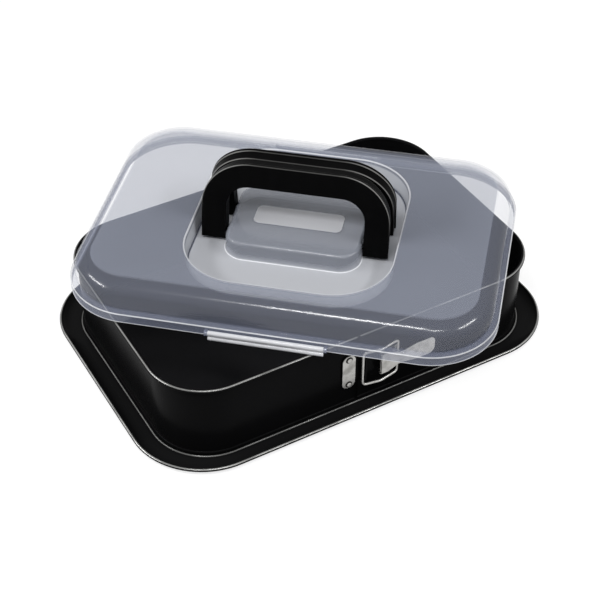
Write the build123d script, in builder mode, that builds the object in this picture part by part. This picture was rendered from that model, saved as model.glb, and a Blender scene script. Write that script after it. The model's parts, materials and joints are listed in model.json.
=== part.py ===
from build123d import *
import math
import os

os.makedirs("parts", exist_ok=True)

# A rectangular springform pan with a clear storage cover, in millimetres.
# X runs along the pan's long side, the clasp is on the front wall at -Y, and Z is up.
# The origin is the middle of the base plate's underside, which stands on the table.

# Base plate
base_length = 420.0
base_width = 294.2
base_corner = 70.0
base_sheet = 1.2
rim_height = 6.3
rim_roll = 1.6
trough_width = 12.5
ridge_height = 2.6
ridge_width = 5.0
ridge_gap = 0.4
curb_height = 0.8
curb_width = 1.6
curb_gap = 0.6

# Ring band
ring_length = 374.4
ring_width = 251.6
ring_corner = 51.5
ring_height = 80.3
ring_sheet = 0.8
bead_radius = 2.0
bead_reach = 0.9
foot_radius = 1.8
seat_gap = 0.3
joint_x = -13.5
joint_gap = 3.0
overlap_length = 20.0
overlap_weld = 8.0
slip_gap = 0.3

# Clasp, placed along the front wall and by its stand-off from the wall
clasp_height = 41.0
clasp_sheet = 1.0
catch_x = -22.5
catch_width = 13.0
catch_height = 38.0
catch_round = 6.0
hook_height = 26.0
hook_lip = 6.4
hook_gap = 0.35
rivet_radius = 1.6
rivet_head = 2.6
rivet_dome = 1.5
rivet_dome_round = 1.2
rivet_edge = 4.4
pin_x = 9.5
pin_standoff = 4.5
pin_radius = 1.2
pin_head = 2.2
pin_head_height = 0.9
shaft_gap = 0.1
side_gap = 0.15
lever_height = 23.0
lever_nose = 1.5
lever_cheek_round = 3.2
lever_head_end = 5.5
lever_waist_start = 15.5
lever_waist_end = 22.0
lever_waist = 14.0
lever_tab_start = 34.5
lever_tab = 19.0
lever_tip = 54.5
lever_tab_round = 6.0
ear_gap = 0.4
ear_round = 2.1
ear_start = 1.0
ear_end = 4.6
bracket_length = 20.5
bracket_rivet_x = 9.5
bracket_rivet_z = 3.6
web_gap = 0.3
bail_radius = 1.4
bail_hook_x = -9.8
bail_hook_standoff = 4.6
bail_bend_x = 7.3
bail_bend_standoff = 7.6
bail_eye = 17.0
bail_eye_standoff = 4.0
bail_height = 38.0
bail_corner = 3.4
bail_bend_round = 12.0
bail_end = 4.5

# Cover, turned askew on top of the ring
cover_x = 2.4
cover_y = 4.8
cover_turn = -41.42
rest_gap = 0.3
cover_wall = 1.6
skirt_length = 385.2
skirt_width = 277.4
skirt_corner = 62.6
skirt_height = 9.0
skirt_edge = 0.8
cover_height = 31.0
shoulder_length = 376.0
shoulder_width = 265.0
shoulder_corner = 57.0
crown_length = 375.0
crown_width = 254.0
crown_corner = 52.0
crown_round = 14.0
recess_length = 188.0
recess_width = 201.0
recess_corner = 55.0
recess_floor = 12.0
recess_draft = 4.0
recess_round = 2.5
recess_edge = 1.5
island_width = 96.0
island_corner = 20.0
island_top = 28.5
island_draft = 2.6
island_round = 3.0
pad_length = 82.0
pad_width = 27.0
pad_corner = 6.0
pad_rise = 0.6

# Folding handles, a pair that leans together over the island
handle_width = 172.4
handle_band = 22.9
handle_thickness = 13.0
handle_corner = 45.4
handle_bend = 21.5
handle_reach = 70.9
handle_foot = 6.9
handle_round = 0.9
handle_rim = 4.0
handle_step = 0.9
handle_side_gap = 0.5
handle_meet_gap = 0.8
handle_lean = 8.84
pivot_height = 21.3
peg_radius = 2.6
peg_depth = 5.4

# Snap flaps on the cover's long sides
flap_length = 101.0
flap_gap = 0.3
flap_roll = 2.2
flap_lip = 2.0
flap_web = 1.6
flap_axis_height = 4.5
flap_drop = 3.0
flap_pin_radius = 1.0
flap_pin_length = 2.0
lug_length = 2.8
lug_round = 1.0

# Derived places
ring_front = -ring_width / 2
clasp_plane = Plane(origin=(0, ring_front, clasp_height), x_dir=(1, 0, 0), z_dir=(0, -1, 0))
clasp_section = Plane(origin=(0, ring_front, clasp_height), x_dir=(1, 0, 0), z_dir=(0, 0, -1))
rivet_z = catch_height / 2 - rivet_edge
catch_rivet_places = [(catch_x, -rivet_z), (catch_x, rivet_z)]
bracket_rivet_places = [
    (pin_x + bracket_rivet_x, -bracket_rivet_z),
    (pin_x + bracket_rivet_x, bracket_rivet_z),
]
ear_half = lever_height / 2 - clasp_sheet - ear_gap
web_inner = pin_standoff + ear_round + web_gap
web_outer = web_inner + clasp_sheet
cheek_low = pin_standoff - lever_cheek_round
cover_bottom = ring_height + rest_gap + flap_drop
cover_location = Location((cover_x, cover_y, cover_bottom), (0, 0, cover_turn))
cover_plane = Plane(cover_location)
handle_inner = handle_width / 2 - handle_band
island_length = 2 * (handle_inner - handle_side_gap)
lean = math.radians(handle_lean)
pivot_y = (
    handle_meet_gap / 2
    + handle_reach * math.sin(lean)
    + handle_thickness / 2 * math.cos(lean)
)


def rounded_path(length, width, corner):
    """Closed path round a rectangle with round corners, starting in the middle of its +X side."""
    half_x = length / 2
    half_y = width / 2
    inner_x = half_x - corner
    inner_y = half_y - corner
    with BuildLine() as path:
        Line((half_x, 0), (half_x, inner_y))
        CenterArc((inner_x, inner_y), corner, 0, 90)
        Line((inner_x, half_y), (-inner_x, half_y))
        CenterArc((-inner_x, inner_y), corner, 90, 90)
        Line((-half_x, inner_y), (-half_x, -inner_y))
        CenterArc((-inner_x, -inner_y), corner, 180, 90)
        Line((-inner_x, -half_y), (inner_x, -half_y))
        CenterArc((inner_x, -inner_y), corner, 270, 90)
        Line((half_x, -inner_y), (half_x, 0))
    return path.wire()


def write(part, name):
    """Label one finished piece and write it to its own file."""
    part.label = name
    export_step(part, f"parts/{name}.step")


# Base plate: a flat floor, a low ridge inside the ring, a curb outside it, and a trough with a rolled rim
rim_path = rounded_path(base_length, base_width, base_corner)
ridge_reach = -ring_sheet - ridge_gap - ridge_width / 2
curb_reach = foot_radius - ring_sheet + curb_gap + curb_width / 2
rim_x = base_length / 2
trough_x = rim_x - trough_width
roll_x = rim_x - rim_roll
roll_z = rim_height - rim_roll
with BuildPart() as base_plate:
    with BuildSketch():
        RectangleRounded(
            base_length - 2 * trough_width,
            base_width - 2 * trough_width,
            base_corner - trough_width,
        )
    extrude(amount=base_sheet)
    with BuildSketch(Plane.XZ):
        with BuildLine():
            bottom = Line((trough_x - base_sheet, 0), (trough_x, 0))
            under_side = TangentArc(bottom @ 1, (roll_x, roll_z - rim_roll), tangent=(1, 0))
            Line(under_side @ 1, (roll_x - rim_roll, roll_z))
            top_side = TangentArc((trough_x, base_sheet), (roll_x - rim_roll, roll_z), tangent=(1, 0))
            Line(top_side @ 0, (trough_x - base_sheet, base_sheet))
            Line((trough_x - base_sheet, base_sheet), bottom @ 0)
        make_face()
        with Locations((roll_x, roll_z)):
            Circle(rim_roll)
    sweep(path=rim_path)
    for reach, line_width, height in (
        (ridge_reach, ridge_width, ridge_height),
        (curb_reach, curb_width, curb_height),
    ):
        line_length = ring_length + 2 * reach
        rise = height + base_sheet / 2
        with BuildSketch(Plane.XZ):
            with Locations((line_length / 2, base_sheet / 2)):
                Ellipse(line_width / 2, rise)
                Rectangle(line_width, rise, align=(Align.CENTER, Align.MAX), mode=Mode.SUBTRACT)
        sweep(path=rounded_path(line_length, ring_width + 2 * reach, ring_corner + reach))
write(base_plate.part, "base_plate")

# Ring band: a wall with a rolled bead on top and a hemmed foot, split at the clasp
ring_path = rounded_path(ring_length, ring_width, ring_corner)
wall_x = ring_length / 2
foot_z = base_sheet + seat_gap + foot_radius
bead_z = ring_height - bead_radius
overlap_start = joint_x - joint_gap / 2 - overlap_length
weld_x = joint_x + joint_gap / 2 + overlap_weld / 2
overlap_stop = weld_x + overlap_weld / 2
overlap_y = ring_front + ring_sheet + slip_gap + ring_sheet / 2
overlap_low = foot_z + foot_radius + slip_gap
overlap_high = bead_z - bead_radius
overlap_z = (overlap_low + overlap_high) / 2
with BuildPart() as ring_band:
    with BuildSketch(Plane.XZ):
        with Locations((wall_x - ring_sheet / 2, (foot_z + bead_z) / 2)):
            Rectangle(ring_sheet, bead_z - foot_z)
        with Locations((wall_x - ring_sheet, foot_z)):
            Circle(foot_radius)
            Circle(foot_radius - ring_sheet, mode=Mode.SUBTRACT)
        with Locations((wall_x - ring_sheet - foot_radius, foot_z)):
            Rectangle(2 * foot_radius, 2 * foot_radius, mode=Mode.SUBTRACT)
        with Locations((wall_x + bead_reach, bead_z)):
            Circle(bead_radius)
    sweep(path=ring_path)
    with Locations((joint_x, ring_front, ring_height / 2)):
        Box(joint_gap, 4 * bead_radius, 2 * ring_height, mode=Mode.SUBTRACT)
    with Locations(((overlap_start + overlap_stop) / 2, overlap_y, overlap_z)):
        Box(overlap_stop - overlap_start, ring_sheet, overlap_high - overlap_low)
    with Locations((weld_x, overlap_y - (ring_sheet + slip_gap) / 2, overlap_z)):
        Box(overlap_weld, slip_gap, overlap_high - overlap_low)
    with BuildSketch(clasp_plane.offset(-ring_sheet)):
        with Locations(*catch_rivet_places, *bracket_rivet_places):
            Circle(rivet_radius)
    extrude(amount=ring_sheet, mode=Mode.SUBTRACT)
write(ring_band.part, "ring_band")

# Catch hook: a strip under the catch plate whose folded lip holds the bail's bar
hook_lip_x = bail_hook_x + bail_radius + hook_gap
hook_left = catch_x - catch_width / 2
hook_right = hook_lip_x + clasp_sheet
with BuildPart() as catch_hook:
    with BuildSketch(clasp_plane):
        with Locations((catch_x, 0)):
            RectangleRounded(catch_width, catch_height, catch_round)
        with Locations(((hook_left + hook_right) / 2, 0)):
            Rectangle(hook_right - hook_left, hook_height)
        with Locations(*catch_rivet_places):
            Circle(rivet_radius, mode=Mode.SUBTRACT)
    extrude(amount=clasp_sheet)
    with BuildSketch(clasp_plane):
        with Locations((hook_lip_x + clasp_sheet / 2, 0)):
            Rectangle(clasp_sheet, hook_height)
    extrude(amount=hook_lip)
write(catch_hook.part, "catch_hook")

# Catch plate: the bright plate that clamps the hook to the band's left end
with BuildPart() as catch_plate:
    with BuildSketch(clasp_plane.offset(clasp_sheet)):
        with Locations((catch_x, 0)):
            RectangleRounded(catch_width, catch_height, catch_round)
        with Locations(*catch_rivet_places):
            Circle(rivet_radius, mode=Mode.SUBTRACT)
    extrude(amount=clasp_sheet)
write(catch_plate.part, "catch_plate")


def rivets(places, seat):
    """Domed rivets through the wall, with their heads on a seat this far from the wall."""
    with BuildPart() as group:
        with BuildSketch(clasp_plane.offset(-ring_sheet)):
            with Locations(*places):
                Circle(rivet_radius)
        extrude(amount=ring_sheet + seat)
        with BuildSketch(clasp_plane.offset(seat)):
            with Locations(*places):
                Circle(rivet_head)
        extrude(amount=rivet_dome)
        fillet(group.edges().group_by(Axis.Y)[0], rivet_dome_round)
    return group.part


write(rivets(catch_rivet_places, 2 * clasp_sheet), "catch_rivets")
write(rivets(bracket_rivet_places, clasp_sheet), "bracket_rivets")

# Lever bracket: a plate on the band's right end with two ears for the lever's pin
with BuildPart() as lever_bracket:
    with BuildSketch(clasp_plane):
        with Locations((pin_x + (ear_start + bracket_length) / 2, 0)):
            Rectangle(bracket_length - ear_start, 2 * ear_half)
        with Locations(*bracket_rivet_places):
            Circle(rivet_radius, mode=Mode.SUBTRACT)
    extrude(amount=clasp_sheet)
    for ear_top in (ear_half, clasp_sheet - ear_half):
        with BuildSketch(clasp_section.offset(-ear_top)):
            with Locations((pin_x + (ear_start + ear_end) / 2, (pin_standoff + ear_round) / 2)):
                Rectangle(ear_end - ear_start, pin_standoff + ear_round)
            with Locations((pin_x, pin_standoff)):
                Circle(ear_round)
                Circle(pin_radius + shaft_gap, mode=Mode.SUBTRACT)
        extrude(amount=clasp_sheet)
write(lever_bracket.part, "lever_bracket")

# Lever: a stamped channel that pivots on the pin, with a waist for the bail and a finger tab
head_half = lever_height / 2
waist_half = lever_waist / 2
tab_half = lever_tab / 2
nose_x = pin_x - lever_nose
waist_x = pin_x + lever_waist_end
bail_eye_x = pin_x + bail_eye


def channel_outline(left, right, inset):
    """Half of the lever's head and waist seen from the front, drawn this far inside its sheet."""
    Polygon(
        (left, 0),
        (left, head_half - inset),
        (pin_x + lever_head_end, head_half - inset),
        (pin_x + lever_waist_start, waist_half - inset),
        (right, waist_half - inset),
        (right, 0),
        align=None,
    )


with BuildPart() as lever:
    with BuildSketch(clasp_plane.offset(cheek_low)):
        channel_outline(nose_x, waist_x, 0)
        mirror(about=Plane.XZ)
    extrude(amount=web_outer - cheek_low)
    with BuildSketch(clasp_plane.offset(cheek_low)):
        channel_outline(nose_x - clasp_sheet, waist_x + clasp_sheet, clasp_sheet)
        mirror(about=Plane.XZ)
    extrude(amount=web_inner - cheek_low, mode=Mode.SUBTRACT)
    with BuildSketch(clasp_plane.offset(web_inner)):
        Polygon(
            (waist_x - clasp_sheet, -waist_half),
            (waist_x, -waist_half),
            (pin_x + lever_tab_start, -tab_half),
            (pin_x + lever_tip, -tab_half),
            (pin_x + lever_tip, tab_half),
            (pin_x + lever_tab_start, tab_half),
            (waist_x, waist_half),
            (waist_x - clasp_sheet, waist_half),
            align=None,
        )
    extrude(amount=clasp_sheet)
    tip_edges = lever.edges().filter_by(Axis.Y).group_by(Axis.X)[-1]
    fillet(tip_edges, lever_tab_round)
    with BuildSketch(clasp_section.offset(-lever_height)):
        with Locations((pin_x - lever_nose, cheek_low + lever_cheek_round / 2)):
            Rectangle(2 * lever_nose, lever_cheek_round)
        with Locations((pin_x, pin_standoff)):
            Circle(lever_cheek_round, mode=Mode.SUBTRACT)
    extrude(amount=2 * lever_height, mode=Mode.SUBTRACT)
    with BuildSketch(clasp_section.offset(-lever_height)):
        with Locations((pin_x, pin_standoff)):
            Circle(pin_radius + shaft_gap)
        with Locations((bail_eye_x, bail_eye_standoff)):
            Circle(bail_radius + shaft_gap)
    extrude(amount=2 * lever_height, mode=Mode.SUBTRACT)
write(lever.part, "lever")

# Lever pin, headed at both ends outside the lever's cheeks
pin_half = head_half + side_gap
with BuildPart() as lever_pin:
    with BuildSketch(clasp_section.offset(-pin_half)):
        with Locations((pin_x, pin_standoff)):
            Circle(pin_radius)
    extrude(amount=2 * pin_half)
    for head_low in (-pin_half - pin_head_height, pin_half):
        with BuildSketch(clasp_section.offset(head_low)):
            with Locations((pin_x, pin_standoff)):
                Circle(pin_head)
        extrude(amount=pin_head_height)
write(lever_pin.part, "lever_pin")

# Bail: a bent wire from the lever's waist round the hook, bowed out past the pivot
bail_half = bail_height / 2
arm_route = [
    (bail_eye_x, bail_eye_standoff),
    (bail_bend_x, bail_bend_standoff),
    (bail_hook_x, bail_hook_standoff),
]
bail_points = [clasp_plane.from_local_coords((bail_eye_x, -bail_end, bail_eye_standoff))]
bail_points += [clasp_plane.from_local_coords((x, -bail_half, out)) for x, out in arm_route]
bail_points += [clasp_plane.from_local_coords((x, bail_half, out)) for x, out in reversed(arm_route)]
bail_points += [clasp_plane.from_local_coords((bail_eye_x, bail_end, bail_eye_standoff))]
bail_radii = [bail_corner, bail_bend_round, bail_corner, bail_corner, bail_bend_round, bail_corner]
with BuildLine() as bail_path:
    FilletPolyline(*bail_points, radius=bail_radii)
with BuildPart() as bail:
    with BuildSketch(Plane(bail_path.wire() @ 0, z_dir=bail_path.wire() % 0)):
        Circle(bail_radius)
    sweep(path=bail_path.wire())
write(bail.part, "bail")


def rounded_loft(low, high, plane):
    """Solid between two rounded rectangles, each given as height, length, width and corner."""
    with BuildPart() as block:
        for height, length, width, corner in (low, high):
            with BuildSketch(plane.offset(height)):
                RectangleRounded(length, width, corner)
        loft(ruled=True)
    return block.part


def shrunk(outline, wall, drop):
    """The same outline set in by the wall and lowered by the drop."""
    height, length, width, corner = outline
    return (height - drop, length - 2 * wall, width - 2 * wall, corner - wall)


# Cover: a moulded shell with a skirt, a stepped shoulder, a sunk recess and an island in its middle
shoulder = (skirt_height, shoulder_length, shoulder_width, shoulder_corner)
crown = (cover_height, crown_length, crown_width, crown_corner)
recess_low = (
    recess_floor,
    recess_length - recess_draft,
    recess_width - 2 * recess_draft,
    recess_corner - recess_draft,
)
recess_high = (cover_height, recess_length, recess_width, recess_corner)
island_low = (recess_floor, island_length, island_width, island_corner)
island_high = (
    island_top,
    island_length - island_draft,
    island_width - 2 * island_draft,
    island_corner - island_draft,
)


def crowned_loft(low, high, plane, rounding):
    """A rounded loft whose top edge is rolled over, as on the outside and inside of the crown."""
    block = rounded_loft(low, high, plane)
    top_edges = block.faces().sort_by(Axis.Z)[-1].edges()
    return block.fillet(rounding, top_edges)


def bowled_loft(low, high, plane, rounding):
    """A rounded loft whose bottom edge is rolled under, as on both sides of the recess's tub."""
    block = rounded_loft(low, high, plane)
    bottom_edges = block.faces().sort_by(Axis.Z)[0].edges()
    return block.fillet(rounding, bottom_edges)


def on_recess_lip(edge):
    """Whether an edge lies round the mouth of the recess."""
    place = cover_plane.to_local_coords(edge.center())
    return abs(place.X) < recess_length / 2 + recess_edge and abs(place.Y) < recess_width / 2 + recess_edge


crown_body = crowned_loft(shoulder, crown, cover_plane, crown_round)
crown_hollow = crowned_loft(
    shrunk(shoulder, cover_wall, cover_wall),
    shrunk(crown, cover_wall, cover_wall),
    cover_plane,
    crown_round - cover_wall,
)
recess_tub = bowled_loft(
    shrunk(recess_low, -cover_wall, cover_wall),
    shrunk(recess_high, -cover_wall, cover_wall / 2),
    cover_plane,
    recess_round + cover_wall,
)
recess_pocket = bowled_loft(recess_low, recess_high, cover_plane, recess_round)
island_body = crowned_loft(island_low, island_high, cover_plane, island_round)
island_hollow = rounded_loft(
    shrunk(island_low, cover_wall, cover_wall),
    shrunk(island_high, cover_wall, cover_wall),
    cover_plane,
)

# Hinge and handle places on the cover, in the cover's own axes
skirt_front = -skirt_width / 2
flap_y = skirt_front - flap_gap - flap_roll
peg_end = handle_inner - peg_depth
lug_x = flap_length / 2 + flap_gap + lug_length / 2
lug_reach = flap_gap + 2 * flap_roll


def turned(degrees):
    """The cover's plane, turned about its middle to face the front or the rear long side."""
    return Plane(cover_location * Location((0, 0, 0), (0, 0, degrees)))


def end_view(side_plane):
    """Upright plane through the cover's middle, seen along its long side: y across, z up."""
    return Plane(origin=side_plane.origin, x_dir=side_plane.y_dir, z_dir=side_plane.x_dir)


with BuildPart() as cover:
    with BuildSketch(cover_plane):
        RectangleRounded(skirt_length, skirt_width, skirt_corner)
    extrude(amount=skirt_height)
    fillet(cover.edges().group_by(Axis.Z)[-1], skirt_edge)
    with BuildSketch(cover_plane):
        RectangleRounded(
            skirt_length - 2 * cover_wall,
            skirt_width - 2 * cover_wall,
            skirt_corner - cover_wall,
        )
    extrude(amount=skirt_height - cover_wall, mode=Mode.SUBTRACT)
    add(crown_body)
    add(crown_hollow, mode=Mode.SUBTRACT)
    add(recess_tub)
    add(recess_pocket, mode=Mode.SUBTRACT)
    fillet(cover.edges().group_by(Axis.Z)[-1].filter_by(on_recess_lip), recess_edge)
    add(island_body)
    add(island_hollow, mode=Mode.SUBTRACT)
    with BuildSketch(cover_plane.offset(island_top)):
        RectangleRounded(pad_length, pad_width, pad_corner)
    extrude(amount=pad_rise)
    for degrees in (0, 180):
        section = end_view(turned(degrees))
        for peg_start in (peg_end - cover_wall, -handle_inner):
            with BuildSketch(section.offset(peg_start)):
                with Locations((-pivot_y, pivot_height)):
                    Circle(peg_radius + shaft_gap)
            extrude(amount=peg_depth + cover_wall, mode=Mode.SUBTRACT)
        for lug_place in (-lug_x, lug_x):
            with BuildSketch(section.offset(lug_place - lug_length / 2)):
                with Locations((skirt_front - lug_reach / 2 + lug_round / 2, flap_axis_height)):
                    RectangleRounded(lug_reach + lug_round, 2 * flap_roll, lug_round)
                with Locations((flap_y, flap_axis_height)):
                    Circle(flap_pin_radius + shaft_gap, mode=Mode.SUBTRACT)
            extrude(amount=lug_length)
write(cover.part, "cover")

def hoop_layer(plane, low, high, inset):
    """One layer of a handle's hoop, between two distances from its middle plane."""
    with BuildPart() as layer:
        with BuildSketch(plane.offset(low)) as outline:
            with Locations((0, (handle_reach - inset - handle_foot) / 2)):
                Rectangle(handle_width - 2 * inset, handle_reach - inset + handle_foot)
            fillet(outline.vertices().group_by(Axis.Y)[-1], handle_corner - inset)
        extrude(amount=high - low)
        with BuildSketch(plane.offset(low)) as opening:
            with Locations((0, (handle_reach - handle_band - handle_foot) / 2 - handle_round)):
                Rectangle(2 * handle_inner, handle_reach - handle_band + handle_foot + 2 * handle_round)
            fillet(opening.vertices().group_by(Axis.Y)[-1], handle_bend)
        extrude(amount=high - low, mode=Mode.SUBTRACT)
        layer_faces = layer.faces().sort_by(Axis(plane.origin, plane.z_dir))
        fillet(layer_faces[0].edges() + layer_faces[-1].edges(), handle_round)
    return layer.part


# Folding handles: a flat hoop with a prouder outer rim, two feet and a peg inside each foot
for name, degrees in (("handle_front", 0), ("handle_rear", 180)):
    side_location = cover_location * Location((0, 0, 0), (0, 0, degrees))
    hoop_plane = Plane(
        side_location * Location((0, -pivot_y, pivot_height), (90 - handle_lean, 0, 0))
    )
    outer_face = handle_thickness / 2
    with BuildPart() as handle:
        add(hoop_layer(hoop_plane, -outer_face, outer_face - handle_rim, handle_step))
        add(hoop_layer(hoop_plane, outer_face - handle_rim, outer_face, 0))
        section = end_view(Plane(side_location))
        for peg_start in (peg_end, -handle_inner):
            with BuildSketch(section.offset(peg_start)):
                with Locations((-pivot_y, pivot_height)):
                    Circle(peg_radius)
            extrude(amount=peg_depth)
    write(handle.part, name)

# Snap flaps: a hinge roll on top, a web and a gripping lip, with a pin at each end
for name, degrees in (("snap_flap_front", 0), ("snap_flap_rear", 180)):
    section = end_view(turned(degrees))
    lip_z = flap_lip - flap_drop
    with BuildPart() as flap:
        with BuildSketch(section.offset(-flap_length / 2)):
            with Locations((flap_y, flap_axis_height)):
                Circle(flap_roll)
            with Locations((flap_y, (flap_axis_height + lip_z) / 2)):
                Rectangle(flap_web, flap_axis_height - lip_z)
            with Locations((flap_y, lip_z)):
                Circle(flap_lip)
        extrude(amount=flap_length)
        with BuildSketch(section.offset(-flap_length / 2 - flap_pin_length)):
            with Locations((flap_y, flap_axis_height)):
                Circle(flap_pin_radius)
        extrude(amount=flap_length + 2 * flap_pin_length)
    write(flap.part, name)
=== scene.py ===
import json
import math
from collections import namedtuple

import bmesh
import bpy
from mathutils import Matrix, Vector

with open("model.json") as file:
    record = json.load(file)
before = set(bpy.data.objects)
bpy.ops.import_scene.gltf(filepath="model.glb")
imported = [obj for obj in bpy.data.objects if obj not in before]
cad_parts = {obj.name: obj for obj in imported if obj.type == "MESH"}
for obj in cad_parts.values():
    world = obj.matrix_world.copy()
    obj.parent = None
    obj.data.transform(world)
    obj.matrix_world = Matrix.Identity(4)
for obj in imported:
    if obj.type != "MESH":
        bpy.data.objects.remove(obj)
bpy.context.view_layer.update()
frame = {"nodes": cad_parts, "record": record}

# A rounded rectangle about its middle
Outline = namedtuple("Outline", "half_length half_width corner")

# A painted highlight line that runs round an outline: how far beyond the outline and how high its crest
# lies, how far from the crest it shows, and how strongly
Crest = namedtuple("Crest", "beyond up width share")

# Base plate and ring: their outlines and the crests that carry painted highlight lines
BASE_RIM = Outline(0.2100, 0.1471, 0.0700)
RING_WALL = Outline(0.1872, 0.1258, 0.0515)
RIM_CREST = Crest(-0.0009, 0.0061, 0.0010, 1.0)
CURB_CREST = Crest(0.0026, 0.0019, 0.0011, 0.6)
BEAD_CREST = Crest(0.0020, 0.0800, 0.0010, 0.7)

# Where the colour turns to the pan floor's painted sheen, by height and inside the ring's wall, and to the
# tray's painted sheen outside the ring
PAN_FLOOR_FADE = (0.0030, 0.0040)
PAN_SIDE_FADE = (-0.004, -0.002)
TRAY_FADE = (0.003, 0.006)

# Coating: pairs of colours that cloud over the sheet and, as a painted sheen, over the pan's floor, the
# tray's painted sheen colour, the painted highlight colour on the crests, and how that highlight thins in
# patches
SHEET_COLOURS = ((0.0034, 0.0034, 0.0036), (0.0056, 0.0056, 0.0060))
PAN_FLOOR_SHEEN_COLOURS = ((0.0100, 0.0100, 0.0108), (0.0140, 0.0140, 0.0152))
TRAY_SHEEN_COLOUR = (0.0080, 0.0080, 0.0083)
CREST_HIGHLIGHT_COLOUR = (0.36, 0.36, 0.35)
CREST_HIGHLIGHT_LEAST = 0.62
CREST_HIGHLIGHT_PATCHES = (0.35, 0.60)

# Rivets of the catch plate, along X and Z, and the painted shade in the corner round each head
CATCH_RIVETS = ((-0.0225, 0.0264), (-0.0225, 0.0556))
RIVET_HEAD = 0.0026
SHADE_RING_GAP = 0.0003
SHADE_RING_FADE = (0.0003, 0.0009)
SHADE_RING_COLOUR = (0.030, 0.029, 0.027)

# Clasp's zinc plate: its colour clean and tarnished, its drawn lines to a metre along each axis, and
# where the noise turns to pits and to tarnish
ZINC_COLOURS = ((0.44, 0.435, 0.42), (0.28, 0.275, 0.262))
DRAWN_LINES = (250, 250, 2200)
PITS = (0.60, 0.76)
TARNISH = (0.40, 0.75)

# The cover's own axes, and the heights of its steps above its lower edge
COVER_MIDDLE = (0.0024, 0.0048)
COVER_TURN = math.radians(-41.42)
COVER_BOTTOM = 0.0836
COVER_TOP = 0.0310
SKIRT_TOP = 0.0090
RECESS_FLOOR = 0.0120
ISLAND_TOP = 0.0285

# The cover's outlines: its skirt, the flat part of its top, the lip and the floor of its recess, its
# island and the plain pad on that. The recess's milky wall reaches a little beyond the lip.
SKIRT = Outline(0.1926, 0.1387, 0.0626)
FLAT = Outline(0.1740, 0.1135, 0.0385)
LIP = Outline(0.0940, 0.1005, 0.0550)
RECESS = Outline(0.0920, 0.0965, 0.0510)
ISLAND = Outline(0.0628, 0.0480, 0.0200)
PAD = Outline(0.0410, 0.0135, 0.0060)
WELL_WALL = 0.0020

# Painted highlight lines along the cover's edges, where the light gathers; the rear crease's painted
# highlight shows only towards the rear
SKIRT_TOP_EDGE = Crest(-0.0003, SKIRT_TOP - 0.0002, 0.0010, 1.0)
SKIRT_FOOT_EDGE = Crest(-0.0003, 0.0, 0.0010, 1.0)
LIP_EDGE = Crest(0.0006, COVER_TOP - 0.0003, 0.0012, 0.8)
ISLAND_FOOT = Crest(0.0, RECESS_FLOOR, 0.0010, 0.7)
REAR_CREASE = Crest(0.0, COVER_TOP, 0.0012, 0.35)
REAR_FADE = (0.05, 0.10)

# Heights over which the cover's finish turns into that of its top sheet, of what lies above its
# skirt, above its recess floor and above that floor's underside, and of its pad
TOP_SHEET_FADE = (COVER_TOP - 0.0040, COVER_TOP - 0.0020)
SKIRT_FADE = (SKIRT_TOP - 0.0010, SKIRT_TOP)
FLOOR_TOP_FADE = (RECESS_FLOOR + 0.0008, RECESS_FLOOR + 0.0034)
FLOOR_UNDER_FADE = (RECESS_FLOOR - 0.0009, RECESS_FLOOR - 0.0004)
PAD_TOP_FADE = (ISLAND_TOP + 0.0001, ISLAND_TOP + 0.0005)

# Widths inside an outline over which its finish sets in
OUTLINE_FADE = 0.0012
FLAT_FADE = 0.0016
WELL_FADE = 0.0006
PAD_FADE = 0.0004

# Cover: pairs of colours that cloud over its walls and its flat top, the colours of its other surfaces, the
# island's painted lighter to lift the handles' shadow on it, and the painted highlight colour of its edges
WALL_COLOURS = ((0.325, 0.358, 0.475), (0.355, 0.390, 0.520))
FLAT_COLOURS = ((0.325, 0.350, 0.423), (0.358, 0.385, 0.466))
ISLAND_PAINTED_LIGHT_COLOUR = (0.41, 0.435, 0.50)
WELL_COLOUR = (0.76, 0.78, 0.83)
FROSTED_COLOUR = (0.70, 0.715, 0.755)
PAD_COLOUR = (0.80, 0.81, 0.85)
COVER_HIGHLIGHT_COLOUR = (0.86, 0.87, 0.89)

# How much the cover's wall hides of what is behind it, and what its other surfaces add to that
WALL_HIDES = 0.105
CLOUD_HIDES = 0.02
FLAT_HIDES = 0.275
SKIRT_HIDES = 0.17
WELL_HIDES = 0.36
FROSTED_HIDES = 0.505
PAD_HIDES = 0.17
EDGES_HIDE = 0.44

# How many flow marks lie to a metre along each axis of the cover, and how much of the gloss the flat
# top and the frosted floor lack
COVER_FLOW = (16, 5, 12)
DULL_SHARE = 0.9

# Gloss of clear plastic: its colour, its share seen square on, what a slant adds and how steeply,
# and how far a face has to turn outwards to have it, away from a point under the cover's middle
FILM_COLOUR = (0.92, 0.92, 0.92)
FILM_LEAST = 0.04
FILM_SLANT = 0.40
FILM_STEEPNESS = 5
FILM_OUTWARD = (0.0, 0.004)
COVER_HEART = (*COVER_MIDDLE, COVER_BOTTOM - 0.05)

# Snap flaps: a pair of colours that cloud over them
FLAP_COLOURS = ((0.77, 0.78, 0.82), (0.83, 0.84, 0.865))

# Folding handles, in the cover's axes: each hoop leans inward about its own pivot, and its outline
# starts at that pivot
HANDLE_LEAN = math.radians(8.84)
HANDLE_PIVOT = (0.01772, 0.0213)
HOOP = Outline(0.0862, 0.0709, 0.0454)
HOOP_STEP = 0.0009
HOOP_FACE = 0.0065
HOOP_RIM = 0.0040

# Painted highlight lines on a hoop's edges: both sides of its raised outer rim, and the edge of its inner
# face, which lies a step inside the rim
EDGE_INSET = 0.0002
EDGE_WIDTH = 0.0008
HOOP_EDGES = (
    Crest(-EDGE_INSET, HOOP_FACE - EDGE_INSET, EDGE_WIDTH, 1.0),
    Crest(-EDGE_INSET, HOOP_FACE - HOOP_RIM + EDGE_INSET, EDGE_WIDTH, 1.0),
    Crest(-HOOP_STEP - EDGE_INSET, EDGE_INSET - HOOP_FACE, EDGE_WIDTH, 1.0),
)

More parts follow.
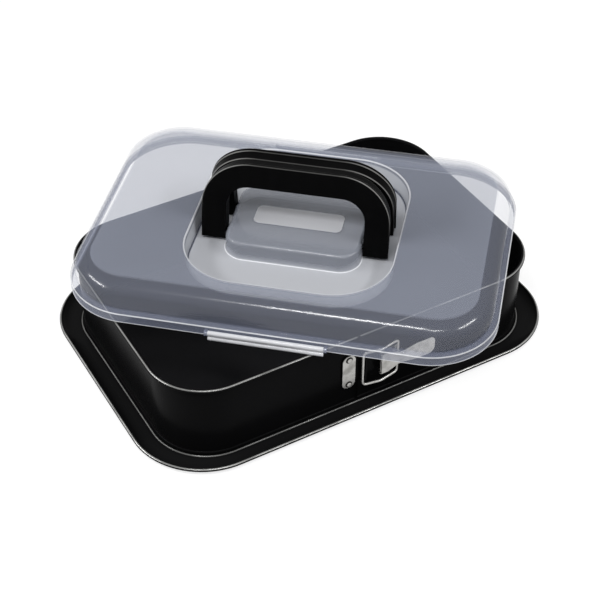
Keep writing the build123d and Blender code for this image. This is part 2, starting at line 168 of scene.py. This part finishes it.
# Where a hoop's painted highlights set in, up its legs and towards its corners, how strong they are on the
# straight and on a corner, the hoop's colours, the highlight's colour, and the flow marks to a metre along
# each axis
HIGHLIGHT_UP = (0.012, 0.050)
HIGHLIGHT_TO_CORNER = (0.034, 0.062)
HIGHLIGHT_STRAIGHT = 0.22
HIGHLIGHT_CORNER = 0.85
HOOP_COLOURS = ((0.0022, 0.0022, 0.0023), (0.0040, 0.0040, 0.0042))
HOOP_HIGHLIGHT_COLOUR = (0.30, 0.30, 0.29)
HOOP_FLOW = (90, 30, 30)

# Share of a crest's width that keeps its full strength
CREST_CORE = 0.35

# Camera, at the photograph's viewing angle
CAMERA_PLACE = Vector((-0.4976, -0.8781, 0.8989))
CAMERA_TARGET = Vector((0.01105, 0.0187, 0.0))
CAMERA_LENS = 84.11
SENSOR_WIDTH = 36.0

# Floor, a little below the base plate so that the two share no face: its own colour, its glow where
# it is looked at, and the world's light on the object and to the eye
FLOOR_SIZE = 24.0
FLOOR_DROP = 0.0003
FLOOR_COLOUR = (0.32, 0.32, 0.32)
FLOOR_WHITE = 0.75
WORLD_LIGHT = 0.31
WORLD_WHITE = 1.0

# Soft boxes, which face the cover's top: name, place, length and width, and watts
SOFT_BOXES = (
    ("key_box", (-0.70, -0.57, 1.83), (0.40, 0.25), 10.5),
    ("front_box", (-0.32, -1.14, 1.80), (0.70, 0.18), 6.5),
    ("right_box", (0.92, -1.02, 1.31), (0.95, 0.16), 12.0),
    ("left_box", (-1.50, 0.52, 1.08), (1.15, 0.26), 16.0),
)


def aim(thing, place, target):
    """Put a lamp or camera at a place, looking at a target."""
    thing.location = place
    thing.rotation_euler = (Vector(target) - Vector(place)).to_track_quat("-Z", "Y").to_euler()
    bpy.context.scene.collection.objects.link(thing)


def make_camera():
    data = bpy.data.cameras.new("camera")
    data.lens = CAMERA_LENS
    data.sensor_width = SENSOR_WIDTH
    data.clip_start = 0.01
    data.clip_end = 50.0
    camera = bpy.data.objects.new("camera", data)
    aim(camera, CAMERA_PLACE, CAMERA_TARGET)
    bpy.context.scene.camera = camera


class Signal:
    """What a socket of a node tree gives out, with arithmetic that adds Math nodes."""

    def __init__(self, nodes, socket):
        self.nodes = nodes
        self.socket = socket

    def math(self, operation, *values):
        return self.nodes.node("ShaderNodeMath", {"operation": operation}, dict(enumerate(values)))

    def __add__(self, other):
        return self.math("ADD", self, other)

    def __radd__(self, other):
        return self.math("ADD", other, self)

    def __sub__(self, other):
        return self.math("SUBTRACT", self, other)

    def __rsub__(self, other):
        return self.math("SUBTRACT", other, self)

    def __mul__(self, other):
        return self.math("MULTIPLY", self, other)

    def __rmul__(self, other):
        return self.math("MULTIPLY", other, self)

    def __pow__(self, other):
        return self.math("POWER", self, other)

    def __abs__(self):
        return self.math("ABSOLUTE", self)

    def largest(self, other):
        return self.math("MAXIMUM", self, other)


class Nodes:
    """The node tree of a material or a world."""

    def __init__(self, owner):
        owner.use_nodes = True
        self.tree = owner.node_tree

    def feed(self, socket, value):
        """Give a socket a value, or a link from a signal."""
        if isinstance(value, Signal):
            self.tree.links.new(value.socket, socket)
        elif hasattr(value, "__len__") and len(value) == 3 and socket.type == "RGBA":
            socket.default_value = (*value, 1.0)
        else:
            socket.default_value = value

    def node(self, kind, settings=(), inputs=(), output=0):
        """Any node: its settings first, then the values or links of its sockets."""
        made = self.tree.nodes.new(kind)
        for name, value in dict(settings).items():
            setattr(made, name, value)
        for name, value in dict(inputs).items():
            self.feed(made.inputs[name], value)
        return Signal(self, made.outputs[output])


class Finish(Nodes):
    """A material written as expressions on its Principled shader."""

    def __init__(self, name):
        self.material = bpy.data.materials.new(name)
        super().__init__(self.material)
        self.shader = self.tree.nodes["Principled BSDF"]
        self.plain = Signal(self, self.shader.outputs[0])
        self.place = self.node("ShaderNodeTexCoord", output="Object")

    def surface(self, **values):
        """Values or links of the Principled shader's sockets, with underscores for spaces."""
        for name, value in values.items():
            self.feed(self.shader.inputs[name.replace("_", " ")], value)
        return self.material

    def ended(self, last):
        """End the material in another shader than the plain Principled one."""
        self.feed(self.tree.nodes["Material Output"].inputs["Surface"], last)
        return self.material

    def stretched(self, scale, turn=0.0):
        """Object coordinates turned about Z and then scaled along each axis."""
        turned = self.node("ShaderNodeMapping", {}, {"Vector": self.place, "Rotation": (0, 0, turn)})
        return self.node("ShaderNodeMapping", {}, {"Vector": turned, "Scale": scale})

    def noise(self, scale, detail=2.0, roughness=0.5, vector=None):
        """Cloudy noise, with this many bumps to a metre."""
        inputs = {
            "Vector": vector or self.place,
            "Scale": scale,
            "Detail": detail,
            "Roughness": roughness,
        }
        return self.node("ShaderNodeTexNoise", {}, inputs, "Fac")

    def ramped(self, value, low, high):
        """0 below low, 1 above high, smooth between them."""
        settings = {"interpolation_type": "SMOOTHSTEP"}
        inputs = {"Value": value, "From Min": low, "From Max": high}
        return self.node("ShaderNodeMapRange", settings, inputs)

    def within(self, distance, fade):
        """1 inside an outline, 0 outside, soft over this width inside it."""
        return 1 - self.ramped(distance, -fade, 0.0)

    def crested(self, distance, height, crest):
        """The crest's share on its line, fading to 0 at its width from it."""
        away = diagonal(distance - crest.beyond, height - crest.up)
        return (1 - self.ramped(away, crest.width * CREST_CORE, crest.width)) * crest.share

    def blended(self, mask, first, second):
        """A colour that turns from first to second with the mask, by the Mix node's colour sockets."""
        settings = {"data_type": "RGBA"}
        return self.node("ShaderNodeMix", settings, {0: mask, 6: first, 7: second}, 2)

    def bumped(self, height, depth, strength):
        """The normal of a surface whose height varies by up to this depth."""
        inputs = {"Height": height, "Distance": depth, "Strength": strength}
        return self.node("ShaderNodeBump", {}, inputs)

    def along(self, vector):
        """The three parts of a vector."""
        split = self.node("ShaderNodeSeparateXYZ", {}, {0: vector})
        return [Signal(self, socket) for socket in split.socket.node.outputs]

    def cover_axes(self):
        """Places in the cover's own axes: along its length, its width and up from its lower edge."""
        middle = Matrix.Rotation(-COVER_TURN, 3, "Z") @ Vector((*COVER_MIDDLE, COVER_BOTTOM))
        inputs = {"Vector": self.place, "Location": tuple(-middle), "Rotation": (0, 0, -COVER_TURN)}
        return self.along(self.node("ShaderNodeMapping", {}, inputs))

    def outward(self, heart):
        """Above 0 on a face that is turned away from this place, below 0 on one turned towards it."""
        facing = self.node("ShaderNodeNewGeometry", output="Normal")
        away = self.node("ShaderNodeVectorMath", {"operation": "SUBTRACT"}, {0: self.place, 1: heart})
        return self.node("ShaderNodeVectorMath", {"operation": "DOT_PRODUCT"}, {0: facing, 1: away}, "Value")

    def filmed(self, strength, roughness, normal):
        """Lay a clear gloss over the outer faces: faint seen square on, strong at a slant."""
        slant = self.node("ShaderNodeLayerWeight", {}, {"Blend": 0.5}, "Facing")
        front = 1 - self.node("ShaderNodeNewGeometry", output="Backfacing")
        outer = front * self.ramped(self.outward(COVER_HEART), *FILM_OUTWARD)
        amount = (FILM_LEAST + FILM_SLANT * slant ** FILM_STEEPNESS) * outer * strength
        film = {"Base Color": FILM_COLOUR, "Metallic": 1.0, "Roughness": roughness, "Normal": normal}
        gloss = self.node("ShaderNodeBsdfPrincipled", {}, film)
        return self.ended(self.node("ShaderNodeMixShader", {}, {0: amount, 1: self.plain, 2: gloss}))


def diagonal(first, second):
    """The straight distance over two lengths at right angles."""
    return (first * first + second * second) ** 0.5


def beyond(x, y, outline):
    """Distance outside an outline, and below 0 just inside it."""
    out_x = (abs(x) - (outline.half_length - outline.corner)).largest(0.0)
    out_y = (abs(y) - (outline.half_width - outline.corner)).largest(0.0)
    return diagonal(out_x, out_y) - outline.corner


def brightest(first, *others):
    """The largest of several signals."""
    for other in others:
        first = first.largest(other)
    return first


def nonstick_coating():
    """Satin black coating on sheet steel, with painted highlights along the rolled edges' crests and a
    painted sheen on the pan's floor and the tray.
    """
    finish = Finish("nonstick_black")
    x, y, z = finish.along(finish.place)
    beyond_ring = beyond(x, y, RING_WALL)
    beyond_rim = beyond(x, y, BASE_RIM)
    peel = finish.noise(900)
    cloud = finish.noise(28, detail=3.0)
    patches = finish.ramped(finish.noise(34, detail=3.0), *CREST_HIGHLIGHT_PATCHES)
    # Painted highlight lines along the crests of the base's rim, the curb and the ring's bead
    crests = brightest(
        finish.crested(beyond_rim, z, RIM_CREST),
        finish.crested(beyond_ring, z, CURB_CREST),
        finish.crested(beyond_ring, z, BEAD_CREST),
    )
    crest_highlight = crests * (CREST_HIGHLIGHT_LEAST + (1 - CREST_HIGHLIGHT_LEAST) * patches)
    # The pan's floor and the tray are painted lighter than the sheet: a painted sheen on their level faces
    low = 1 - finish.ramped(z, *PAN_FLOOR_FADE)
    pan_floor_sheen = low * (1 - finish.ramped(beyond_ring, *PAN_SIDE_FADE))
    tray_sheen = finish.ramped(beyond_ring, *TRAY_FADE)
    colour = finish.blended(tray_sheen, finish.blended(cloud, *SHEET_COLOURS), TRAY_SHEEN_COLOUR)
    colour = finish.blended(pan_floor_sheen, colour, finish.blended(cloud, *PAN_FLOOR_SHEEN_COLOURS))
    return finish.surface(
        Base_Color=finish.blended(crest_highlight, colour, CREST_HIGHLIGHT_COLOUR),
        Metallic=crest_highlight * 0.6,
        Roughness=0.20 + cloud * 0.05 + peel * 0.04,
        Specular_IOR_Level=0.014,
        Normal=finish.bumped(peel, depth=0.00001, strength=0.4),
    )


def bright_steel():
    """Zinc plated stamping, with drawn lines, small pits, tarnish and painted shade round its rivets."""
    finish = Finish("bright_steel")
    x, _, z = finish.along(finish.place)
    lines = finish.noise(1, detail=3.0, roughness=0.6, vector=finish.stretched(DRAWN_LINES))
    pits = finish.ramped(finish.noise(2600), *PITS)
    tarnish = finish.ramped(finish.noise(120, detail=3.0, roughness=0.55), *TARNISH)
    # A dark ring round each rivet head: painted shade in the corner at its foot
    rings = []
    for rivet_x, rivet_z in CATCH_RIVETS:
        from_head = abs(diagonal(x - rivet_x, z - rivet_z) - (RIVET_HEAD + SHADE_RING_GAP))
        rings.append(1 - finish.ramped(from_head, *SHADE_RING_FADE))
    rivet_shade = brightest(*rings)
    colour = finish.blended(tarnish, *ZINC_COLOURS)
    return finish.surface(
        Base_Color=finish.blended(rivet_shade, colour, SHADE_RING_COLOUR),
        Metallic=1.0,
        Roughness=0.20 + lines * 0.16 + tarnish * 0.10 + rivet_shade * 0.3,
        Normal=finish.bumped(lines * 0.6 - pits * 0.5, depth=0.00002, strength=0.5),
    )


def cover_plastic():
    """Milky clear plastic: thick on top, clearer in its walls, frosted on its recess floor, with painted
    highlight lines along its edges.
    """
    finish = Finish("clear_plastic")
    x, y, height = finish.cover_axes()
    beyond_skirt = beyond(x, y, SKIRT)
    beyond_flat = beyond(x, y, FLAT)
    beyond_lip = beyond(x, y, LIP)
    beyond_island = beyond(x, y, ISLAND)
    top_sheet = finish.ramped(height, *TOP_SHEET_FADE)
    above_floor = finish.ramped(height, *FLOOR_TOP_FADE)
    island = finish.within(beyond_island, OUTLINE_FADE)
    flat = finish.within(beyond_flat, FLAT_FADE) * top_sheet.largest(island)
    skirt = 1 - finish.ramped(height, *SKIRT_FADE)
    well = finish.within(beyond_lip - WELL_WALL, WELL_FADE) * (1 - island) * above_floor * (1 - top_sheet)
    floor = finish.within(beyond(x, y, RECESS), OUTLINE_FADE) * (1 - island) * (1 - above_floor)
    frosted = floor * finish.ramped(height, *FLOOR_UNDER_FADE)
    pad = finish.within(beyond(x, y, PAD), PAD_FADE) * finish.ramped(height, *PAD_TOP_FADE) * island
    # Painted highlight lines along the skirt, the lip, the island's foot and, towards the rear only, the
    # flat top's crease
    edges = brightest(
        finish.crested(beyond_skirt, height, SKIRT_TOP_EDGE),
        finish.crested(beyond_skirt, height, SKIRT_FOOT_EDGE),
        finish.crested(beyond_lip, height, LIP_EDGE),
        finish.crested(beyond_island, height, ISLAND_FOOT),
        finish.crested(beyond_flat, height, REAR_CREASE) * finish.ramped(y, *REAR_FADE),
    )
    cloud = finish.noise(9)
    flow = finish.noise(1, detail=1.0, vector=finish.stretched(COVER_FLOW, -COVER_TURN))
    grain = finish.noise(1800, detail=1.0)
    colour = finish.blended(flat, finish.blended(cloud, *WALL_COLOURS), finish.blended(cloud, *FLAT_COLOURS))
    # The island is painted lighter than the rest of the top, to lift the shadow that the handles cast on it
    colour = finish.blended(island, colour, ISLAND_PAINTED_LIGHT_COLOUR)
    colour = finish.blended(well, colour, WELL_COLOUR)
    colour = finish.blended(frosted, colour, FROSTED_COLOUR)
    colour = finish.blended(pad, colour, PAD_COLOUR)
    hides = WALL_HIDES + cloud * CLOUD_HIDES + flat * FLAT_HIDES + skirt * SKIRT_HIDES
    hides = hides + well * WELL_HIDES + frosted * FROSTED_HIDES + pad * PAD_HIDES
    finish.surface(
        Base_Color=finish.blended(edges, colour, COVER_HIGHLIGHT_COLOUR),
        Roughness=0.40 + cloud * 0.10,
        Specular_IOR_Level=0.0,
        Alpha=hides + edges * EDGES_HIDE,
    )
    textured = frosted + pad
    normal = finish.bumped(flow * 0.6 + textured * grain * 0.04, depth=0.0006, strength=0.25)
    dull = (flat * (1 - island)).largest(frosted) * DULL_SHARE
    return finish.filmed(strength=1 - dull, roughness=0.15 + flow * 0.03 + textured * 0.2, normal=normal)


def flap_plastic():
    """The same plastic, thicker and milkier, on the snap flaps."""
    finish = Finish("frosted_plastic")
    cloud = finish.noise(60)
    grain = finish.noise(1800, detail=1.0)
    finish.surface(
        Base_Color=finish.blended(cloud, *FLAP_COLOURS),
        Roughness=0.30 + cloud * 0.10,
        Specular_IOR_Level=0.0,
        Alpha=0.62 + cloud * 0.06,
    )
    normal = finish.bumped(grain, depth=0.00001, strength=0.3)
    return finish.filmed(strength=1.0, roughness=0.12 + cloud * 0.06, normal=normal)


def handle_plastic():
    """Satin black moulded plastic, with a fine grain and painted highlight lines along each hoop's edges."""
    finish = Finish("black_plastic")
    x, y, height = finish.cover_axes()
    grain = finish.noise(3000, roughness=0.6)
    flow = finish.noise(1, vector=finish.stretched(HOOP_FLOW, -COVER_TURN))
    side = abs(y) - HANDLE_PIVOT[0]
    rise = height - HANDLE_PIVOT[1]
    up_hoop = rise * math.cos(HANDLE_LEAN) - side * math.sin(HANDLE_LEAN)
    across_hoop = side * math.cos(HANDLE_LEAN) + rise * math.sin(HANDLE_LEAN)
    beyond_hoop = beyond(x, up_hoop, HOOP)
    # Painted highlight lines along the hoop's edges, stronger towards its corners
    edges = brightest(*(finish.crested(beyond_hoop, across_hoop, edge) for edge in HOOP_EDGES))
    corner = finish.ramped(abs(x), *HIGHLIGHT_TO_CORNER)
    strength = HIGHLIGHT_STRAIGHT + (HIGHLIGHT_CORNER - HIGHLIGHT_STRAIGHT) * corner
    hoop_highlight = edges * finish.ramped(up_hoop, *HIGHLIGHT_UP) * strength * (0.7 + 0.3 * flow)
    colour = finish.blended(flow, *HOOP_COLOURS)
    return finish.surface(
        Base_Color=finish.blended(hoop_highlight, colour, HOOP_HIGHLIGHT_COLOUR),
        Roughness=0.24 + flow * 0.06 + grain * 0.05,
        Specular_IOR_Level=0.009,
        Normal=finish.bumped(grain, depth=0.00002, strength=0.3),
    )


def white_to_sight(nodes, low, high):
    """A strength that is high where the camera, a gloss or a clear material looks, and else low."""
    camera, gloss, clear = (
        nodes.node("ShaderNodeLightPath", output=ray)
        for ray in ("Is Camera Ray", "Is Glossy Ray", "Is Transmission Ray")
    )
    return low + (high - low) * brightest(camera, gloss, clear)


def make_floor():
    mesh = bpy.data.meshes.new("floor")
    form = bmesh.new()
    bmesh.ops.create_grid(form, x_segments=1, y_segments=1, size=FLOOR_SIZE / 2)
    bmesh.ops.translate(form, verts=form.verts, vec=(0, 0, -FLOOR_DROP))
    form.to_mesh(mesh)
    form.free()
    finish = Finish("floor")
    finish.surface(Base_Color=FLOOR_COLOUR, Roughness=0.7, Specular_IOR_Level=0.1)
    strength = white_to_sight(finish, 0.0, FLOOR_WHITE)
    glow = finish.node("ShaderNodeEmission", {}, {"Strength": strength})
    mesh.materials.append(finish.ended(finish.node("ShaderNodeAddShader", {}, {0: finish.plain, 1: glow})))
    floor = bpy.data.objects.new("floor", mesh)
    bpy.context.scene.collection.objects.link(floor)


def make_world():
    world = bpy.data.worlds.new("studio")
    nodes = Nodes(world)
    sockets = nodes.tree.nodes["Background"].inputs
    nodes.feed(sockets["Color"], (1.0, 1.0, 1.0))
    nodes.feed(sockets["Strength"], white_to_sight(nodes, WORLD_LIGHT, WORLD_WHITE))
    bpy.context.scene.world = world


def make_lamp(name, place, target, size, watts):
    data = bpy.data.lights.new(name, "AREA")
    data.shape = "RECTANGLE"
    data.size, data.size_y = size
    data.energy = watts
    lamp = bpy.data.objects.new(name, data)
    aim(lamp, place, target)
    lamp.visible_camera = False


def make_studio():
    """A key light high on the left, a box high at the front, one front right and one on the left."""
    lid = (*COVER_MIDDLE, COVER_BOTTOM + COVER_TOP)
    for name, place, size, watts in SOFT_BOXES:
        make_lamp(name, place, lid, size, watts)


FINISHES = {
    "nonstick_black": nonstick_coating,
    "bright_steel": bright_steel,
    "clear_plastic": cover_plastic,
    "frosted_plastic": flap_plastic,
    "black_plastic": handle_plastic,
}


def finish_nodes():
    """Give each piece of the frame the finish of its material slot."""
    made = {slot: build() for slot, build in FINISHES.items()}
    for part in frame["record"]["subparts"]:
        for place in frame["nodes"][part["node"]].material_slots:
            place.material = made[part["material_slot"]]


make_camera()
make_world()
make_floor()
make_studio()
finish_nodes()

bpy.context.scene.view_settings.view_transform = "Standard"
